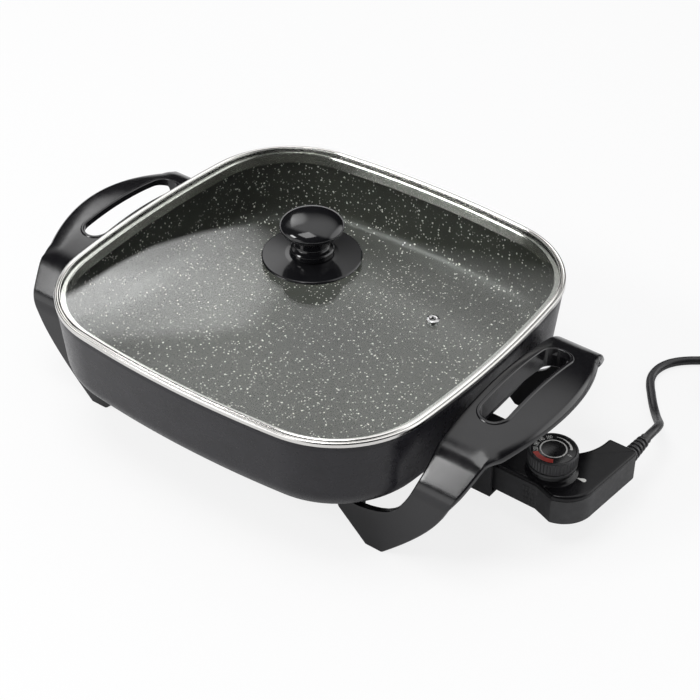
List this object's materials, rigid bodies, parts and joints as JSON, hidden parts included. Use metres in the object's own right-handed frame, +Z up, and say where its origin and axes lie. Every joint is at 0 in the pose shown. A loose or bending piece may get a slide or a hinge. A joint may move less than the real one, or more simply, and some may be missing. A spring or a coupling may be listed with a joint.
{
  "type": "electric skillet",
  "caption": "Square electric skillet with a domed glass lid that lifts off, arched side handles that are its feet, and a plug-in dial controller on a mains lead.",
  "frame": {"origin": "on the table, under the middle of the box round the skillet and its controller, without the lead", "axes": "+Z up from the table, +X towards the controller, +Y to the back"},
  "size_m": [0.5481, 0.4262, 0.1771],
  "materials": {
    "coated_metal": "cast, with a dark non-stick coating, speckled inside",
    "steel": "bright",
    "plated": "zinc plated",
    "heater_sheath": "oxidised",
    "glass": "clear tempered",
    "black_gloss": "gloss moulded",
    "black_satin": "satin moulded",
    "dial_print": "printed scale",
    "white_lens": "translucent",
    "ceramic": "unglazed",
    "brass": "plain",
    "neon": "clear",
    "seal": "matt",
    "lead": "satin sheath"
  },
  "bodies": {
    "base": {"pan": "coated_metal", "heating_element": "heater_sheath", "terminal_pins": "plated", "pin_insulators": "ceramic", "terminal_shroud": "black_satin", "shroud_screws": "plated", "right_handle": "black_gloss", "left_handle": "black_gloss", "leg_screws": "plated"},
    "lid": {"lid_glass": "glass", "lid_rim": "steel", "vent_grommet": "steel", "knob_disc": "black_gloss", "lid_knob": "black_gloss", "knob_gasket": "seal", "knob_washer": "plated", "knob_screw": "plated"},
    "controller": {"controller_base": "black_satin", "controller_top": "black_gloss", "controller_screws": "plated", "thermostat": "ceramic", "heat_probe": "plated", "probe_ferrule": "brass", "pin_sockets": "brass", "neon_lamp": "neon", "indicator_lens": "white_lens", "strain_relief": "lead", "cord": "lead", "cord_coil": "lead", "cord_tie": "black_satin", "plug": "lead", "plug_blades": "brass"},
    "dial": {"dial_shaft": "brass", "dial": "black_satin", "dial_plate": "dial_print"}
  },
  "joints": [
    {"name": "lid_lift", "type": "slide", "parent": "base", "child": "lid", "axis": [0, 0, 1], "range_m": [0, 0.15]},
    {"name": "controller_pull", "type": "slide", "parent": "base", "child": "controller", "axis": [1, 0, 0], "range_m": [0, 0.09]},
    {"name": "dial_turn", "type": "hinge", "parent": "controller", "child": "dial", "pos_m": [0.201, 0, 0.0535], "axis": [0, 0, 1], "range_deg": [-265, 0]}
  ]
}
